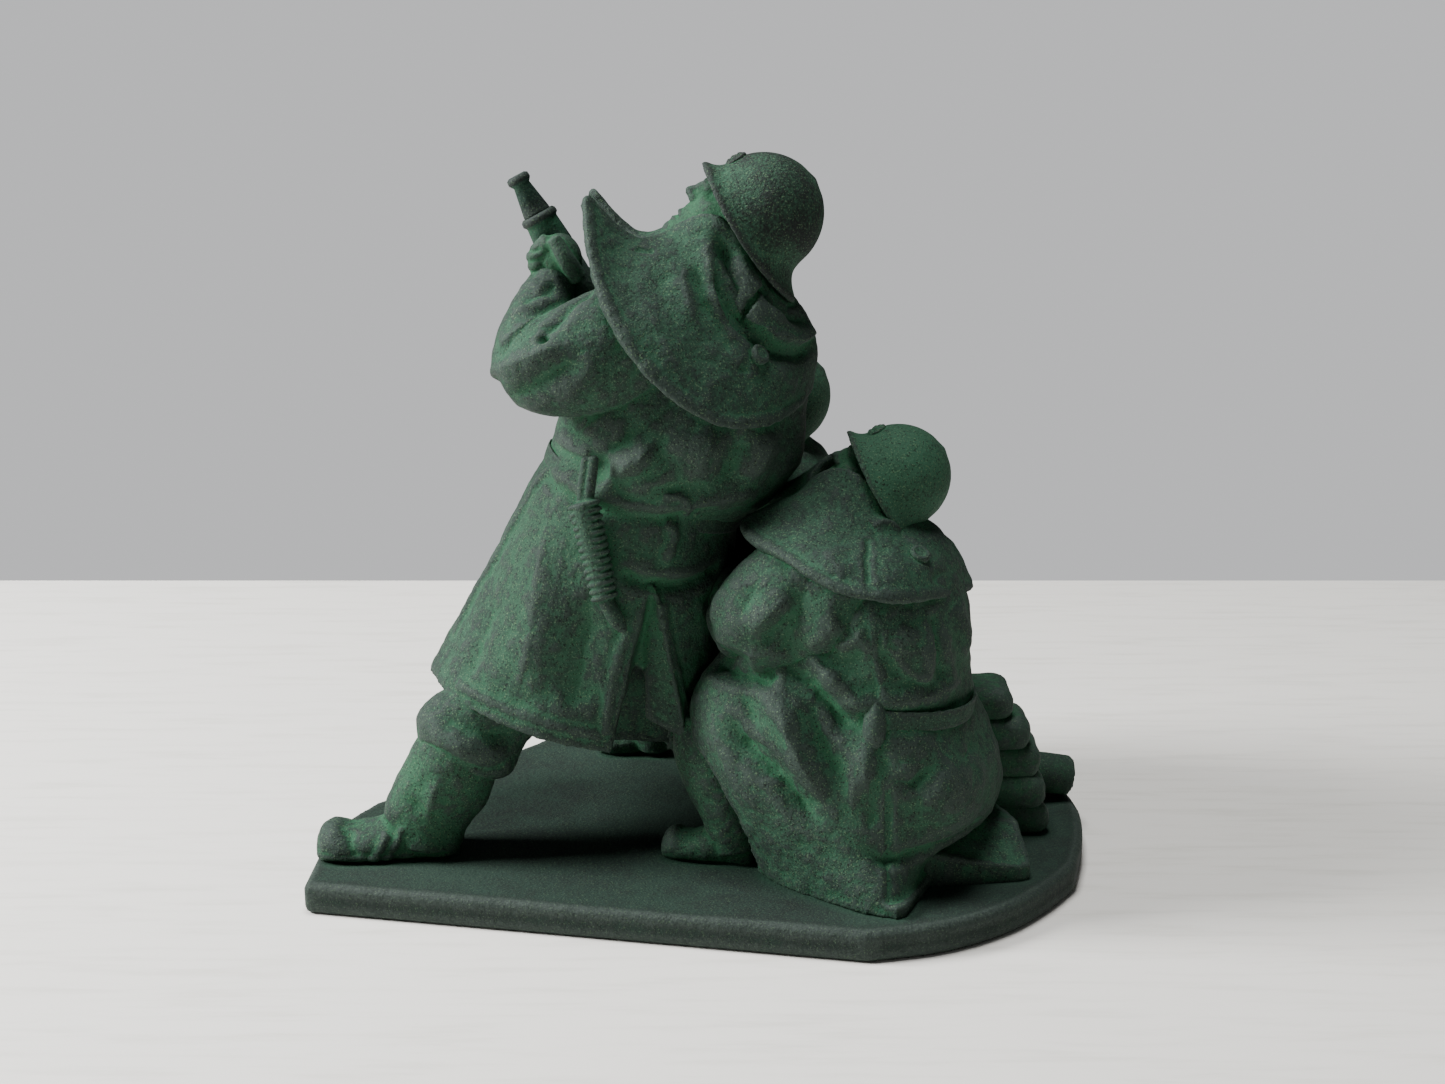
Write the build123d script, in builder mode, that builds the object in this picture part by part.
"""Statuette of three firefighters with a hose on one base plate, as a cast and pinned assembly.

+X runs along the base's long front edge, towards the hose pile. +Y runs from the front edge to
the back. +Z is up. The origin is the centre of the base's underside. All sizes are millimetres.
A standing firefighter leans back and aims the nozzle up; a kneeling one braces on each side.
"""

import os

from build123d import *

os.makedirs("parts", exist_ok=True)

# ---------------------------------------------------------------- driving sizes
base_length = 228.0  # along X
base_depth = 156.0  # along Y
base_thickness = 9.0
base_bevel = 1.2  # on the top edge
cape_wall = 2.4  # cast thickness of the capes
skirt_wall = 3.0  # cast thickness of the standing coat's skirt
skirt_depth = 30.0  # how far the skirt is hollow, up from its hem
peg_radius = 2.5  # locating pegs under boots, arms and heads
peg_length = 5.0
peg_clearance = 0.1  # on the radius of each socket

helmet_wall = 2.2
brim_rise = 2.6  # height of the brim's slope
badge_radius = 3.0
badge_thickness = 1.6
button_radius = 2.6
button_height = 1.4
belt_width = 7.0
belt_thickness = 1.2

hose_radius = 5.0
tail_radius = 6.3  # of the open hose end that lies on the base
nozzle_length = 22.5
nozzle_tip_radius = 3.2
nozzle_bore = 1.6  # radius of the waterway in the tip
coupling_radius = 5.2
fold_count = 5  # layers in the hose pile
fold_thickness = 9.0
fold_depth = 20.0  # of each layer, along Y

half_length = base_length / 2
half_depth = base_depth / 2
floor = base_thickness  # height of the surface that the figures stand on


# ---------------------------------------------------------------- helpers
def leaning(centre, lean, turn=0.0):
    """The plane across a body at centre. Its normal is +Z, leaned towards +X by lean degrees,
    then turned about Z by turn degrees."""
    tipped = Vector(0, 0, 1).rotate(Axis.Y, lean).rotate(Axis.Z, turn)
    across = Vector(1, 0, 0).rotate(Axis.Y, lean).rotate(Axis.Z, turn)
    return Plane(origin=centre, x_dir=across, z_dir=tipped)


def body_form(stations, grow=0.0):
    """A closed form lofted through ovals. A station is (centre, lean, x radius, y radius)."""
    with BuildPart() as form:
        for centre, lean, x_radius, y_radius in stations:
            with BuildSketch(leaning(centre, lean)):
                Ellipse(x_radius + grow, y_radius + grow)
        loft()
    return form.part


def limb_form(stations, grow=0.0):
    """A closed form lofted through circles square to the limb. A station is (centre, radius)."""
    centres = [Vector(*centre) for centre, _ in stations]
    with BuildPart() as form:
        for index, (centre, radius) in enumerate(stations):
            ahead = centres[min(index + 1, len(centres) - 1)]
            behind = centres[max(index - 1, 0)]
            with BuildSketch(Plane(origin=centre, z_dir=(ahead - behind).normalized())):
                Circle(radius + grow)
        loft()
    return form.part


def floor_trimmed(form):
    """The form with everything below the base's top surface cut away."""
    with BuildPart() as trimmed:
        add(form)
        split(bisect_by=Plane.XY.offset(floor), keep=Keep.TOP)
    return trimmed.part


def peg(place, clearance=0.0):
    """A locating peg through the joint at place, or its socket when it has a clearance."""
    with BuildPart() as made:
        with BuildSketch(place):
            Circle(peg_radius + clearance)
        extrude(amount=peg_length + clearance, both=True)
    return made.part


def fitted(label, form, cutters=(), pegs=(), sockets=()):
    """One casting: a form with its neighbours cut out of it, its pegs added, its sockets sunk."""
    with BuildPart() as piece:
        add(form)
        for cutter in cutters:
            add(cutter, mode=Mode.SUBTRACT)
    with BuildPart() as finished:
        add(piece.part.solids().sort_by(SortBy.VOLUME)[-1])
        for place in pegs:
            add(peg(place))
        for place in sockets:
            add(peg(place, peg_clearance), mode=Mode.SUBTRACT)
    finished.part.label = label
    return finished.part


def write(part):
    export_step(part, f"parts/{part.label}.step")


# ---------------------------------------------------------------- parts that all three men have
def helmet(label, head, radius):
    """Steel helmet: a dome over an oval sloping brim. head's normal points out of the crown and
    its x axis to the face."""
    brim_height = -0.36 * radius  # the brim's lower edge, below the dome's centre
    brim_plane = head.offset(brim_height)
    with BuildPart() as shell:
        with Locations(head.location):
            Sphere(radius)
        split(bisect_by=brim_plane, keep=Keep.TOP)
        with BuildSketch(brim_plane):
            Ellipse(1.36 * radius, 1.16 * radius)
        with BuildSketch(brim_plane.offset(brim_rise)):
            Ellipse(0.97 * radius, 0.97 * radius)
        loft()
        with Locations(head.location):
            Sphere(radius - helmet_wall, mode=Mode.SUBTRACT)
    shell.part.label = label
    return shell.part


def badge(label, head, radius):
    """Blank round badge on the front of a helmet, seated on the dome."""
    across_front = Plane(origin=head.origin, x_dir=head.y_dir, z_dir=badge_direction(head))
    with BuildPart() as disc:
        with BuildSketch(across_front.offset(radius - 0.6)):
            Circle(badge_radius)
        extrude(amount=badge_thickness)
        with Locations(head.location):
            Sphere(radius, mode=Mode.SUBTRACT)
    disc.part.label = label
    return disc.part


def badge_direction(head):
    """Out of the front of the dome, clear of the brim."""
    return (head.x_dir + head.z_dir * 0.3).normalized()


def head_and_neck(label, head, helmet_radius, neck_foot):
    """Head with a plain face, under its helmet, on a neck that runs down into the coat."""
    skull = helmet_radius - helmet_wall
    jaw = [(0, 0.0, 1.0, 1.0), (-0.45, 0.02, 0.98, 0.9), (-0.9, 0.12, 0.8, 0.72), (-1.25, 0.3, 0.42, 0.4)]
    with BuildPart() as form:
        with Locations(head.location):
            Sphere(skull)
        for height, forward, length, breadth in jaw:
            place = head.offset(height * helmet_radius)
            place.origin = place.origin + head.x_dir * (forward * helmet_radius)
            with BuildSketch(place):
                Ellipse(length * skull * 0.97, breadth * skull * 0.97)
        loft()
        nose = Plane(
            origin=head.origin + head.x_dir * (0.72 * skull) - head.z_dir * (0.75 * helmet_radius),
            x_dir=head.z_dir,
            z_dir=head.x_dir,
        )
        with BuildSketch(nose):
            Ellipse(3.2, 2.2)
        with BuildSketch(nose.offset(0.42 * skull)):
            Ellipse(1.5, 1.4)
        loft()
        foot = Vector(*neck_foot)
        neck_way = (foot - head.origin).normalized()
        with BuildSketch(Plane(origin=head.origin + neck_way * (0.5 * skull), z_dir=neck_way)):
            Circle(0.62 * skull)
        extrude(amount=(foot - head.origin).length - 0.5 * skull)
    form.part.label = label
    return form.part


def cape_form(stations):
    """Open bell of cast cloth: the form through its stations, hollowed to the cape's wall."""
    first, last = stations[0], stations[-1]

    def shifted(station, amount):
        centre, lean, x_radius, y_radius = station
        moved = leaning(centre, lean).offset(amount).origin
        return (tuple(moved), lean, x_radius, y_radius)

    inside = [shifted(first, -1.0), *stations[1:-1], shifted(last, 1.0)]
    with BuildPart() as shell:
        add(body_form(stations))
        add(body_form(inside, -cape_wall), mode=Mode.SUBTRACT)
    return shell.part


def belt(label, centre, lean, x_radius, y_radius, cutters=()):
    """Webbing belt: an oval band seated round a coat."""
    place = leaning(centre, lean)
    with BuildPart() as band:
        with BuildSketch(place.offset(-belt_width / 2)):
            Ellipse(x_radius + belt_thickness, y_radius + belt_thickness)
        extrude(amount=belt_width)
    return fitted(label, band.part, cutters)


def button(label, place, cutters=()):
    """Round button with a low domed top, seated on a cape."""
    with BuildPart() as disc:
        with BuildSketch(place.offset(-3.0)):
            Circle(button_radius)
        extrude(amount=3.0 + button_height)
        chamfer(disc.faces().sort_by(Axis(place.origin, place.z_dir))[-1].edges(), 0.5)
    return fitted(label, disc.part, cutters)


def boot_form(toe, heel, half_width, height, shin):
    """Split-toe work boot: a foot along X trimmed flat on the base, and the shin that rises
    from it. shin is a list of limb stations."""
    length = heel[0] - toe[0]
    shape = [  # (share of the length, share of the half width, share of the height)
        (0.0, 0.45, 0.50),
        (0.12, 0.85, 0.72),
        (0.35, 1.0, 0.85),
        (0.65, 0.95, 1.0),
        (0.9, 0.9, 0.95),
        (1.0, 0.6, 0.7),
    ]
    middle = floor + height * 0.35
    with BuildPart() as foot:
        for along, width, rise in shape:
            y = toe[1] + (heel[1] - toe[1]) * along
            centre = (toe[0] + length * along, y, middle)
            with BuildSketch(Plane(origin=centre, x_dir=(0, 1, 0), z_dir=(1, 0, 0))):
                Ellipse(half_width * width, height * 0.65 * rise)
        loft()
        add(limb_form(shin))
    return floor_trimmed(foot.part)


# ---------------------------------------------------------------- base plate
def base_outline():
    """The plate's outline: a straight front edge, rounded right end, cut-back rear left."""
    left_front = (-half_length, -48)
    front_corner = (43, -half_depth)
    right_front = (106, -34)
    right_back = (half_length, 12)
    back_right = (60, half_depth - 1)
    back_left = (-38, half_depth - 1)
    rear_cut = (-62, 60)
    left_back = (-104, 12)
    left_end = (-half_length, -22)
    with BuildLine() as outline:
        Line(left_front, front_corner)
        ThreePointArc(front_corner, (82, -62), right_front)
        TangentArc(right_back, right_front, tangent=(0, -1))
        TangentArc(right_back, back_right, tangent=(0, 1))
        ThreePointArc(back_right, (11, half_depth), back_left)
        ThreePointArc(back_left, (-52, 71), rear_cut)
        Line(rear_cut, left_back)
        TangentArc(left_end, left_back, tangent=(0, 1))
        Line(left_end, left_front)
    return outline.wires()[0]


def base_plate(sockets):
    with BuildPart() as plate:
        with BuildSketch():
            make_face(base_outline())
        extrude(amount=base_thickness - base_bevel)
        with BuildSketch(Plane.XY.offset(base_thickness - base_bevel)):
            make_face(base_outline())
        extrude(amount=base_bevel, taper=45)
    return fitted("base_plate", plate.part, sockets=sockets)


# ---------------------------------------------------------------- nozzle and hose
nozzle_mouth = Vector(-52.8, -6, 202)
nozzle_way = Vector(0.468, 0, -0.883).normalized()  # from the mouth back along the hose
tip_length = 12.0  # the tapered tip's share of the nozzle's length
hose_start = nozzle_mouth + nozzle_way * nozzle_length
hose_route = [
    tuple(hose_start),
    tuple(hose_start + nozzle_way * 20),
    (-31, 19, 141),
    (-20, 37, 122),
    (6, 31, 102),
    (28, 11, 84),
    (54, 7, 61),
    (78, -4, floor + 4.5 * fold_thickness),
]
hose_turns = [13, 18, 18, 30, 60, 60]  # radius at each corner of the route
tail_route = [(62, 13, 27), (90, 14, 20), (112, 18, floor + tail_radius - 0.5)]
tail_turns = [60]
fold_ends = [100.0, 97.5, 94.5, 91.5, 84.0]  # X of each layer's right end, from the lowest up
fold_starts = [62.0, 60.0, 61.0, 60.0, 62.0]  # X of each layer's left end
fold_middle = -5.0  # Y of the middle of the pile


def tube(label, route, turns, radius):
    """A hose along a route of straight runs joined by tangent arcs."""
    way = (Vector(*route[1]) - Vector(*route[0])).normalized()
    with BuildPart() as swept:
        with BuildLine() as path:
            FilletPolyline(*route, radius=turns)
        with BuildSketch(Plane(origin=route[0], z_dir=way)):
            Circle(radius)
        sweep(path=path.wire())
    swept.part.label = label
    return swept.part


def turned(label, points):
    """A nozzle piece turned about the nozzle's axis. points are (from the mouth, radius)."""
    lathe = Plane(origin=nozzle_mouth, x_dir=(0, 1, 0), z_dir=Vector(0, 1, 0).cross(nozzle_way))
    with BuildPart() as piece:
        with BuildSketch(lathe):
            with BuildLine():
                Polyline(*[(radius, distance) for distance, radius in points], close=True)
            make_face()
        revolve(axis=Axis(nozzle_mouth, nozzle_way))
    piece.part.label = label
    return piece.part


def nozzle_tip():
    """Tapered tip with a lip at its mouth, bored through."""
    lip, taper = nozzle_tip_radius, 0.55 * nozzle_tip_radius + 2.1
    profile = [
        (0, nozzle_bore),
        (0, lip),
        (2.0, lip),
        (2.6, 0.76 * lip),
        (tip_length, taper),
        (tip_length, nozzle_bore),
    ]
    return turned("nozzle_tip", profile)


def nozzle_barrel():
    """Barrel behind the tip: a knurled ring, a plain body and the hose coupling."""
    profile = [
        (tip_length, nozzle_bore),
        (tip_length, coupling_radius),
        (tip_length + 2.4, coupling_radius),
        (tip_length + 2.4, 0.88 * coupling_radius),
        (nozzle_length - 1.2, coupling_radius),
        (nozzle_length, coupling_radius),
        (nozzle_length, nozzle_bore),
    ]
    return turned("nozzle_barrel", profile)


def hose_fold(layer, cutters):
    """One flattened layer of the hose pile, lying along X with both ends rounded over."""
    start, end = fold_starts[layer], fold_ends[layer]
    middle = Plane(
        origin=((start + end) / 2, fold_middle, floor + (layer + 0.5) * fold_thickness),
        x_dir=(1, 0, 0),
        z_dir=(0, -1, 0),
    )
    with BuildPart() as layer_form:
        with BuildSketch(middle):
            SlotOverall(end - start, fold_thickness)
        extrude(amount=fold_depth / 2, both=True)
    return fitted(f"hose_fold_{layer + 1}", layer_form.part, cutters)


# ---------------------------------------------------------------- standing firefighter
standing_head = Plane(origin=(15.7, -8, 192.2), x_dir=(-0.55, 0, 0.835), z_dir=(0.835, 0, 0.55))
standing_helmet_radius = 16.4

standing_coat_stations = [
    ((-43.4, -2, 48.2), 16, 40.6, 37.5),
    ((-28.5, -3, 85), 17, 35.5, 34),
    ((-18.5, -4, 114.5), 20, 29.5, 30),
    ((-7, -4.5, 132), 17, 35, 31.5),
    ((3, -5, 158), 22, 27, 25),
    ((7, -5, 167), 24, 16, 17),
]
skirt_hollow = [
    ((-45.6, -2, 42.6), 16, 41.6, 38.5),
    ((-43.4, -2, 48.2), 16, 40.6, 37.5),
    ((-43.4 + 0.37 * skirt_depth, -3, 48.2 + 0.93 * skirt_depth), 16, 33.5, 31),
]
standing_cape_stations = [
    ((0, -6, 162.5), 42, 35, 38),
    ((7.5, -6, 170), 33, 27.5, 32),
    ((6.5, -6, 176), 28, 22.5, 19.5),
    ((4.5, -6, 180.5), 25, 17.5, 14.5),
]
collar_horn = [((-4, -8, 172), 12), ((-18, -14, 186), 7), ((-32, -18, 197), 2)]
left_leg = [
    ((-72, -22.5, 40), 13),
    ((-69, -21.5, 46), 14.5),
    ((-58, -17, 58), 14),
    ((-44, -11, 74), 13.5),
    ((-34, -8, 92), 14),
]
right_leg = [((3, 12, 30), 12.5), ((-7, 11, 46), 14), ((-24, 8, 76), 16), ((-30, 5, 92), 16)]
standing_left_boot = dict(
    toe=(-112.5, -27.5),
    heel=(-73, -24),
    half_width=9,
    height=12,
    shin=[
        ((-83, -24.5, 17), 9.8),
        ((-81, -24.5, 25), 10.8),
        ((-77, -24, 32), 11.2),
        ((-70, -22.5, 44), 11),
    ],
)
standing_right_boot = dict(
    toe=(-3, 13),
    heel=(33, 16),
    half_width=9,
    height=12,
    shin=[((21, 15, 17), 9.5), ((17, 15, 23), 9.5), ((11, 14, 29), 10), ((0, 12.5, 39), 10)],
)
standing_left_arm = [
    ((-14, -21, 161), 14),
    ((-32, -24.5, 155.5), 14.5),
    ((-45, -24.5, 152), 13),
    ((-50, -20.5, 158), 11.5),
    ((-47, -15, 167), 9),
    ((-43.5, -11.5, 174), 6.5),
]
standing_right_arm = [
    ((-8, 16, 158), 14),
    ((-24, 24, 156), 13),
    ((-36, 24, 156), 11),
    ((-41, 16, 162), 9.5),
    ((-40, 8, 168), 7.0),
]
left_hand_centre = (-42.2, -10.2, 179)
right_hand_centre = (-36, 2, 171)
hand_radius = 7.6
rope_hank = [
    ((-32, -36.5, 129), 2.6),
    ((-33.6, -37.5, 116), 4.4),
    ((-28.6, -38.8, 91), 4.0),
    ((-23.8, -38, 82.5), 1.2),
]
vent_place = (-17, -34, 60)
vent_outline = [(-12, -26), (2, 33), (14, -26)]
vent_reach = 9.0


def standing_coat(hose):
    """Long coat: a leaning body, hollow under its skirt, with a vent slit at the back left."""
    with BuildPart() as coat:
        add(body_form(standing_coat_stations))
        add(body_form(skirt_hollow, -skirt_wall), mode=Mode.SUBTRACT)
        with BuildSketch(Plane(origin=vent_place, x_dir=(1, 0, 0), z_dir=(0, 1, 0))):
            with BuildLine():
                Polyline(*vent_outline, close=True)
            make_face()
        extrude(amount=vent_reach, both=True, mode=Mode.SUBTRACT)
    return fitted("standing_coat", coat.part, [hose])


def standing_trousers(cutters):
    """Two legs joined at the hips inside the coat's skirt."""
    with BuildPart() as trousers:
        add(limb_form(left_leg))
        add(limb_form(right_leg))
    return fitted("standing_trousers", floor_trimmed(trousers.part), cutters)


def standing_cape(cutters):
    """Stiff shoulder cape with its front drawn out to a horn on each side."""
    middle = standing_cape_stations[0][0][1]
    with BuildPart() as cape:
        add(cape_form(standing_cape_stations))
        for side in (1, -1):
            horn = [((x, middle + side * (y - middle), z), radius) for (x, y, z), radius in collar_horn]
            add(limb_form(horn))
    return fitted("standing_cape", cape.part, cutters)


def hand(label, centre, cutters):
    """Gloved fist round the hose or the nozzle."""
    with BuildPart() as fist:
        with Locations(centre):
            Sphere(hand_radius)
    return fitted(label, fist.part, cutters)


# ---------------------------------------------------------------- kneeling firefighters
kneeling_torso = [
    ((44, -26, 46), 0, 33, 30),
    ((46, -26, 61), 8, 29.5, 29),
    ((46, -26, 92), 6, 26, 25.5),
    ((50, -24, 106), 15, 16, 16),
]
kneeling_skirt = [  # (centre, y radius, z radius), from the knee back to the hem
    ((-4, -32, 53), 5, 8),
    ((6, -33, 47), 15, 20),
    ((22, -34, 40), 22, 27),
    ((40, -36, 34), 29, 30),
    ((58, -34, 32), 30, 28),
    ((75, -28, 30), 24, 22),
    ((86, -22, 26), 13, 13),
]
kneeling_cape = [
    ((42, -15.5, 97), 17, 35, 39),
    ((46.5, -15, 103.5), 15, 26.5, 32),
    ((45, -15, 109), 16, 20.5, 18.5),
    ((43, -15, 113), 20, 15.5, 13.5),
]
kneeling_outer_arm = [
    ((34, -34, 98), 14),
    ((24, -35.5, 95), 15),
    ((16.5, -37, 86), 14),
    ((13.5, -37, 75), 10),
]
kneeling_forearm = [((14, -34, 79), 9), ((9, -24, 82), 9), ((5, -13, 85), 7.5)]
kneeling_hose_arm = [((50, -8, 98), 12), ((44, 0, 88), 10.5), ((38, 4, 78), 7.5)]
kneeling_hand = (38, 6, 76)
kneeling_button = (58.5, -42.5, 104.5)
kneeling_neck_foot = (47, -18, 104)
kneeling_hem = [(14, -39), (31, -57.5), (50.5, -70), (53, -67), (63, -43), (70, -24), (40, -24)]
hem_thickness = 4.0
hem_reach = {"kneeling": -70, "rear": -62}  # least Y of each man's hem, as the near man has it
kneeling_flap = [(64, -50), (92, -46), (90, -23), (64, -20)]
flap_height = 9.0
kneeling_boot = dict(
    toe=(-13, -25.5),
    heel=(12.5, -31.5),
    half_width=7.4,
    height=9,
    shin=[
        ((8, -31, 13), 7.2),
        ((6.5, -31, 21), 7.8),
        ((2, -30, 32), 9.6),
        ((-3, -29.5, 42), 10),
        ((-4, -29, 48), 8.8),
    ],
)
rear_boot = dict(
    toe=(-37, 57),
    heel=(-14, 57),
    half_width=8,
    height=10,
    shin=[((-19, 56, 13), 8), ((-19, 53, 26), 9), ((-18, 49, 40), 10), ((-16, 46, 52), 9)],
)
near_helmet_radius = 14.5
rear_helmet_radius = 15.0
rear_rise = 1.12  # height of the rear man over the near one
rear_shift = -23.5  # along X, at the floor
rear_lean = -0.075  # further along X for each millimetre of height
rear_mirror = 10.0  # sum of the two men's Y, at the floor
rear_away = 0.1  # further along Y for each millimetre of height


def near_place(point):
    return point


def rear_place(point):
    """Where a point of the near kneeling man is on the rear one, who mirrors him."""
    x, y, z = point
    height = z - floor
    mirrored_y = rear_mirror - y + rear_away * height
    return (x + rear_shift + rear_lean * height, mirrored_y, floor + rear_rise * height)


def placed(stations, place):
    return [(place(centre), *sizes) for centre, *sizes in stations]


def kneeling_head(place, centre=(54, -15, 119.4)):
    return Plane(origin=place(centre), x_dir=(-0.53, 0, 0.85), z_dir=(0.85, 0, 0.53))


def kneeling_coat(man, place, cutters, pegs):
    """Coat of a kneeling man: his torso, a skirt drawn over the raised knee to the floor, and the
    pointed corner of its hem."""
    hem = [place((x, max(y, hem_reach[man]), floor))[:2] for x, y in kneeling_hem]
    with BuildPart() as coat:
        add(body_form(placed(kneeling_torso, place)))
        with BuildSketch(Plane.XY.offset(floor)):
            with BuildLine():
                Polyline(*hem, close=True)
            make_face()
        extrude(amount=hem_thickness)
        for centre, y_radius, z_radius in placed(kneeling_skirt, place):
            with BuildSketch(Plane(origin=centre, x_dir=(0, 1, 0), z_dir=(1, 0, 0))):
                Ellipse(y_radius, z_radius)
        loft()
    return fitted(f"{man}_coat", floor_trimmed(coat.part), cutters, pegs)


def coat_flap(cutters):
    """Flat corner of the near kneeling man's coat, lying on the base behind him."""
    with BuildPart() as flap:
        with BuildSketch(Plane.XY.offset(floor)):
            with BuildLine():
                Polyline(*kneeling_flap, close=True)
            make_face()
        extrude(amount=flap_height)
        chamfer(flap.faces().sort_by(Axis.Z)[-1].edges(), 2.0)
    return fitted("kneeling_coat_flap", flap.part, cutters)


# ---------------------------------------------------------------- the assembly
def foot_peg(boot, along=0.6):
    """Where a boot's peg goes down into the base."""
    (toe_x, toe_y), (heel_x, heel_y) = boot["toe"], boot["heel"]
    return Plane(origin=(toe_x + (heel_x - toe_x) * along, toe_y + (heel_y - toe_y) * along, floor))


boots = dict(
    standing_left_boot=standing_left_boot,
    standing_right_boot=standing_right_boot,
    kneeling_left_boot=kneeling_boot,
    rear_right_boot=rear_boot,
)
near_knee_peg = Plane(origin=(58, -34, floor))
rear_knee_peg = Plane(origin=(*rear_place((58, -34, floor))[:2], floor))
floor_pegs = [*[foot_peg(boot) for boot in boots.values()], near_knee_peg, rear_knee_peg]

parts = [base_plate(floor_pegs), nozzle_tip(), nozzle_barrel()]
hose = tube("hose_line", hose_route, hose_turns, hose_radius)
barrel = parts[-1]

# standing man: the coat keeps its form and what meets it is cut to fit
left_shoulder_button = Plane(origin=(14.4, -38.8, 158.4), z_dir=(0.25, -0.9, 0.36))
coat = standing_coat(hose)
trousers = standing_trousers([coat])
shell = helmet("standing_helmet", standing_head, standing_helmet_radius)
head = head_and_neck("standing_head", standing_head, standing_helmet_radius, (4, -6, 164))
head = fitted("standing_head", head, [coat, shell])
cape = standing_cape([coat, head, shell, hose])
left_arm = fitted("standing_left_arm", limb_form(standing_left_arm), [coat, cape, hose, barrel])
right_arm = fitted("standing_right_arm", limb_form(standing_right_arm), [coat, cape, hose, barrel])
parts += [coat, trousers, head, shell, cape, left_arm, right_arm]
parts += [
    badge("standing_helmet_badge", standing_head, standing_helmet_radius),
    button("standing_cape_button", left_shoulder_button, [cape, coat]),
    hand("standing_left_hand", left_hand_centre, [hose, barrel, left_arm]),
    hand("standing_right_hand", right_hand_centre, [hose, barrel, right_arm]),
]
waist = standing_coat_stations[2]
standing_belt = belt("standing_belt", *waist, [coat, hose])
hank = fitted("standing_rope_hank", limb_form(rope_hank), [coat, standing_belt, left_arm])
parts += [standing_belt, hank]

standing_boots = {}
for name in ("standing_left_boot", "standing_right_boot"):
    standing_boots[name] = fitted(name, boot_form(**boots[name]), [trousers, coat], [foot_peg(boots[name])])
parts += standing_boots.values()
standing_blockers = [trousers, coat, standing_boots["standing_right_boot"], hose, cape, standing_belt]

# kneeling men: cut to fit the standing man and the hose
earlier = []
for side, place, helmet_radius, boot_name in (
    ("kneeling", near_place, near_helmet_radius, "kneeling_left_boot"),
    ("rear", rear_place, rear_helmet_radius, "rear_right_boot"),
):
    outer, inner = ("left", "right") if side == "kneeling" else ("right", "left")
    knee_peg = near_knee_peg if side == "kneeling" else rear_knee_peg
    head_plane = kneeling_head(place)
    blockers = [*standing_blockers, *earlier]
    boot = fitted(boot_name, boot_form(**boots[boot_name]), blockers, [foot_peg(boots[boot_name])])
    shell_k = fitted(f"{side}_helmet", helmet(f"{side}_helmet", head_plane, helmet_radius), blockers)
    coat_k = kneeling_coat(side, place, [*blockers, boot, shell_k], [knee_peg])
    skull_k = head_and_neck(f"{side}_head", head_plane, helmet_radius, place(kneeling_neck_foot))
    head_k = fitted(f"{side}_head", skull_k, [*blockers, coat_k, shell_k])
    shell_form = cape_form(placed(kneeling_cape, place))
    cape_k = fitted(f"{side}_cape", shell_form, [*blockers, coat_k, head_k, shell_k])
    dressed = [*blockers, coat_k, cape_k]
    with BuildPart() as bent_arm:
        add(limb_form(placed(kneeling_outer_arm, place)))
        add(limb_form(placed(kneeling_forearm, place)))
    outer_arm = fitted(f"{side}_{outer}_arm", bent_arm.part, dressed)
    hose_arm = fitted(f"{side}_{inner}_arm", limb_form(placed(kneeling_hose_arm, place)), dressed)
    fist = hand(f"{side}_{inner}_hand", place(kneeling_hand), [*dressed, hose_arm])
    waist_k = placed(kneeling_torso, place)[1]
    outward = -0.8 if side == "kneeling" else 0.8
    button_place = Plane(origin=place(kneeling_button), z_dir=(0.3, outward, 0.5))
    made = [boot, shell_k, coat_k, head_k, cape_k, outer_arm, hose_arm, fist]
    made += [
        badge(f"{side}_helmet_badge", head_plane, helmet_radius),
        button(f"{side}_cape_button", button_place, [cape_k, coat_k]),
        belt(f"{side}_belt", *waist_k, [*dressed, outer_arm, hose_arm, fist]),
    ]
    if side == "kneeling":
        made.append(coat_flap([coat_k]))
    parts += made
    earlier += made

# hose pile, each layer cut where the coats lie over it
layers = [hose_fold(layer, earlier) for layer in range(fold_count)]
tail_form = floor_trimmed(tube("hose_tail", tail_route, tail_turns, tail_radius))
tail = fitted("hose_tail", tail_form, [*layers, *earlier])
line = fitted("hose_line", hose, [*layers])
parts += [*layers, tail, line]

for part in parts:
    write(part)
